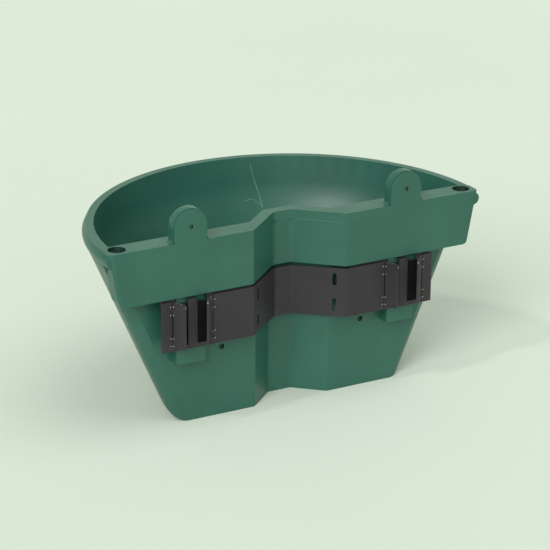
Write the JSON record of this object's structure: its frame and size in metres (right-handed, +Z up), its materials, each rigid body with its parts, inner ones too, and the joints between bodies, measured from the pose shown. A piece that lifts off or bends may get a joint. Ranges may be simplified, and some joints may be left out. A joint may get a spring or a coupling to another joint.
{
  "type": "feed bucket",
  "caption": "Half-moon wall feed bucket with a corner notch, hollow ledge, eared back and a slide-on folded steel bracket strip with swing-out flaps.",
  "frame": {"origin": "middle of the flat base, at floor level", "axes": "+Z up, +Y toward the curved front, -Y toward the wall, +X to the right seen from the wall side"},
  "size_m": [0.52, 0.2925, 0.2834],
  "materials": {
    "green_plastic": "moulded, satin",
    "black_steel": "black powder coat",
    "dark_steel": "thin black dip coat"
  },
  "bodies": {
    "tub": {"tub": "green_plastic"},
    "bracket": {"strip": "black_steel", "hanger_left": "dark_steel", "hanger_right": "dark_steel"},
    "flap_left": {"flap_left": "black_steel"},
    "tab_left": {"tab_left": "black_steel"},
    "flap_right": {"flap_right": "black_steel"},
    "tab_right": {"tab_right": "black_steel"}
  },
  "joints": [
    {"name": "bracket_slide", "type": "slide", "parent": "tub", "child": "bracket", "axis": [0, 0, -1], "range_m": [0, 0.07]},
    {"name": "flap_left_bend", "type": "hinge", "parent": "bracket", "child": "flap_left", "pos_m": [-0.175, -0.0975, 0.137], "axis": [0, 0, 1], "range_deg": [-26, 64]},
    {"name": "tab_left_bend", "type": "hinge", "parent": "bracket", "child": "tab_left", "pos_m": [-0.1215, -0.0975, 0.137], "axis": [0, 0, 1], "range_deg": [-48, 42]},
    {"name": "flap_right_bend", "type": "hinge", "parent": "bracket", "child": "flap_right", "pos_m": [0.1215, -0.0975, 0.137], "axis": [0, 0, 1], "range_deg": [-26, 64]},
    {"name": "tab_right_bend", "type": "hinge", "parent": "bracket", "child": "tab_right", "pos_m": [0.175, -0.0975, 0.137], "axis": [0, 0, 1], "range_deg": [-48, 42]}
  ]
}
